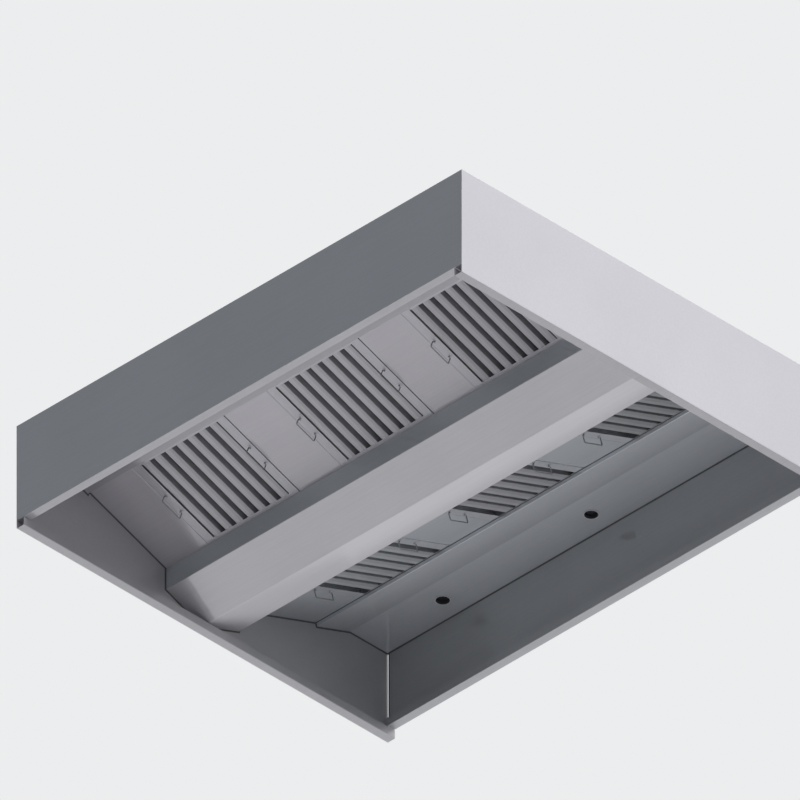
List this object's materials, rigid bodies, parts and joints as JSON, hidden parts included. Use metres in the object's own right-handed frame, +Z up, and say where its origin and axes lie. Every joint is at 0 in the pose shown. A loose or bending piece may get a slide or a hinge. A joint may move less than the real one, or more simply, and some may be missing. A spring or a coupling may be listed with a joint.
{
  "type": "island canopy hood",
  "caption": "Ceiling-hung stainless island canopy with two banks of baffle filters falling to a central V trough, downlights, exhaust collar with damper and a drain valve.",
  "frame": {"origin": "centre of the four hanger holes, on top of the hanger brackets", "axes": "+X along the hood towards its right end, front at -Y, +Z up"},
  "size_m": [2.447, 2, 0.6865],
  "materials": {
    "canopy_steel": "satin sheet, fine grain",
    "filter_steel": "bright rolled sheet",
    "bail_wire": "polished wire",
    "galvanised_steel": "galvanised, dull",
    "zinc_fasteners": "zinc plated",
    "rivet_aluminium": "plain",
    "gasket_rubber": "matt foam",
    "bush_plastic": "natural nylon",
    "gland_plastic": "matt",
    "bezel_dark": "dark anodised",
    "lens_glass": "tempered, unlit",
    "lamp_board": "lamp board",
    "valve_brass": "cast and turned",
    "lever_paint": "dipped"
  },
  "bodies": {
    "root": {"front_skirt_panel": "canopy_steel", "rear_skirt_panel": "canopy_steel", "left_end_panel": "canopy_steel", "right_end_panel": "canopy_steel", "roof_panel": "galvanised_steel", "front_ceiling_panel": "canopy_steel", "rear_ceiling_panel": "canopy_steel", "grease_trough": "canopy_steel", "front_filter_rail": "canopy_steel", "rear_filter_rail": "canopy_steel", "front_filler_plates": "canopy_steel", "rear_filler_plates": "canopy_steel", "roof_stiffeners": "galvanised_steel", "hanger_brackets": "galvanised_steel", "hanger_bolts": "zinc_fasteners", "roof_rivets": "rivet_aluminium", "exhaust_collar": "galvanised_steel", "collar_gasket": "gasket_rubber", "collar_bolts": "zinc_fasteners", "damper_bushes": "bush_plastic", "damper_quadrant": "galvanised_steel", "downlight_cans": "galvanised_steel", "downlight_lenses": "lens_glass", "downlight_bezels": "bezel_dark", "downlight_leds": "lamp_board", "junction_box": "galvanised_steel", "junction_box_lid": "galvanised_steel", "cable_gland": "gland_plastic", "drain_pipe": "canopy_steel", "drain_valve_body": "valve_brass", "lighting_conduit": "galvanised_steel"},
    "damper": {"damper_blade": "galvanised_steel", "damper_shaft": "zinc_fasteners", "damper_lever": "zinc_fasteners"},
    "drain_valve": {"drain_valve_ball": "zinc_fasteners", "drain_valve_lever": "lever_paint"},
    "filter_front_1": {"filter_frame_front_1": "filter_steel", "filter_baffles_front_1": "filter_steel"},
    "bail_front_1_left_wire": {"bail_front_1_left": "bail_wire"},
    "bail_front_1_right_wire": {"bail_front_1_right": "bail_wire"},
    "filter_front_2": {"filter_frame_front_2": "filter_steel", "filter_baffles_front_2": "filter_steel"},
    "bail_front_2_left_wire": {"bail_front_2_left": "bail_wire"},
    "bail_front_2_right_wire": {"bail_front_2_right": "bail_wire"},
    "filter_front_3": {"filter_frame_front_3": "filter_steel", "filter_baffles_front_3": "filter_steel"},
    "bail_front_3_left_wire": {"bail_front_3_left": "bail_wire"},
    "bail_front_3_right_wire": {"bail_front_3_right": "bail_wire"},
    "filter_rear_1": {"filter_frame_rear_1": "filter_steel", "filter_baffles_rear_1": "filter_steel"},
    "bail_rear_1_left_wire": {"bail_rear_1_left": "bail_wire"},
    "bail_rear_1_right_wire": {"bail_rear_1_right": "bail_wire"},
    "filter_rear_2": {"filter_frame_rear_2": "filter_steel", "filter_baffles_rear_2": "filter_steel"},
    "bail_rear_2_left_wire": {"bail_rear_2_left": "bail_wire"},
    "bail_rear_2_right_wire": {"bail_rear_2_right": "bail_wire"},
    "filter_rear_3": {"filter_frame_rear_3": "filter_steel", "filter_baffles_rear_3": "filter_steel"},
    "bail_rear_3_left_wire": {"bail_rear_3_left": "bail_wire"},
    "bail_rear_3_right_wire": {"bail_rear_3_right": "bail_wire"}
  },
  "joints": [
    {"name": "damper_turn", "type": "hinge", "parent": "root", "child": "damper", "pos_m": [0, 0, 0.0285], "axis": [1, 0, 0], "range_deg": [0, 90]},
    {"name": "drain_valve_turn", "type": "hinge", "parent": "root", "child": "drain_valve", "pos_m": [-1.225, -0.054, -0.459], "axis": [0, 0, 1], "range_deg": [0, 90]},
    {"name": "filter_front_1_lift", "type": "slide", "parent": "root", "child": "filter_front_1", "axis": [0, -0.9397, 0.342], "range_m": [0, 0.032]},
    {"name": "bail_front_1_left_swing", "type": "hinge", "parent": "filter_front_1", "child": "bail_front_1_left_wire", "pos_m": [-0.95225, -0.4039, -0.22901], "axis": [0, -0.9397, 0.342], "range_deg": [-90, 90]},
    {"name": "bail_front_1_right_swing", "type": "hinge", "parent": "filter_front_1", "child": "bail_front_1_right_wire", "pos_m": [-0.49825, -0.4039, -0.22901], "axis": [0, -0.9397, 0.342], "range_deg": [-90, 90]},
    {"name": "filter_front_2_lift", "type": "slide", "parent": "root", "child": "filter_front_2", "axis": [0, -0.9397, 0.342], "range_m": [0, 0.032]},
    {"name": "bail_front_2_left_swing", "type": "hinge", "parent": "filter_front_2", "child": "bail_front_2_left_wire", "pos_m": [-0.2285, -0.4039, -0.22901], "axis": [0, -0.9397, 0.342], "range_deg": [-90, 90]},
    {"name": "bail_front_2_right_swing", "type": "hinge", "parent": "filter_front_2", "child": "bail_front_2_right_wire", "pos_m": [0.2255, -0.4039, -0.22901], "axis": [0, -0.9397, 0.342], "range_deg": [-90, 90]},
    {"name": "filter_front_3_lift", "type": "slide", "parent": "root", "child": "filter_front_3", "axis": [0, -0.9397, 0.342], "range_m": [0, 0.032]},
    {"name": "bail_front_3_left_swing", "type": "hinge", "parent": "filter_front_3", "child": "bail_front_3_left_wire", "pos_m": [0.49525, -0.4039, -0.22901], "axis": [0, -0.9397, 0.342], "range_deg": [-90, 90]},
    {"name": "bail_front_3_right_swing", "type": "hinge", "parent": "filter_front_3", "child": "bail_front_3_right_wire", "pos_m": [0.94925, -0.4039, -0.22901], "axis": [0, -0.9397, 0.342], "range_deg": [-90, 90]},
    {"name": "filter_rear_1_lift", "type": "slide", "parent": "root", "child": "filter_rear_1", "axis": [0, 0.9397, 0.342], "range_m": [0, 0.032]},
    {"name": "bail_rear_1_left_swing", "type": "hinge", "parent": "filter_rear_1", "child": "bail_rear_1_left_wire", "pos_m": [-0.95225, 0.4039, -0.22901], "axis": [0, 0.9397, 0.342], "range_deg": [-90, 90]},
    {"name": "bail_rear_1_right_swing", "type": "hinge", "parent": "filter_rear_1", "child": "bail_rear_1_right_wire", "pos_m": [-0.49825, 0.4039, -0.22901], "axis": [0, 0.9397, 0.342], "range_deg": [-90, 90]},
    {"name": "filter_rear_2_lift", "type": "slide", "parent": "root", "child": "filter_rear_2", "axis": [0, 0.9397, 0.342], "range_m": [0, 0.032]},
    {"name": "bail_rear_2_left_swing", "type": "hinge", "parent": "filter_rear_2", "child": "bail_rear_2_left_wire", "pos_m": [-0.2285, 0.4039, -0.22901], "axis": [0, 0.9397, 0.342], "range_deg": [-90, 90]},
    {"name": "bail_rear_2_right_swing", "type": "hinge", "parent": "filter_rear_2", "child": "bail_rear_2_right_wire", "pos_m": [0.2255, 0.4039, -0.22901], "axis": [0, 0.9397, 0.342], "range_deg": [-90, 90]},
    {"name": "filter_rear_3_lift", "type": "slide", "parent": "root", "child": "filter_rear_3", "axis": [0, 0.9397, 0.342], "range_m": [0, 0.032]},
    {"name": "bail_rear_3_left_swing", "type": "hinge", "parent": "filter_rear_3", "child": "bail_rear_3_left_wire", "pos_m": [0.49525, 0.4039, -0.22901], "axis": [0, 0.9397, 0.342], "range_deg": [-90, 90]},
    {"name": "bail_rear_3_right_swing", "type": "hinge", "parent": "filter_rear_3", "child": "bail_rear_3_right_wire", "pos_m": [0.94925, 0.4039, -0.22901], "axis": [0, 0.9397, 0.342], "range_deg": [-90, 90]}
  ]
}
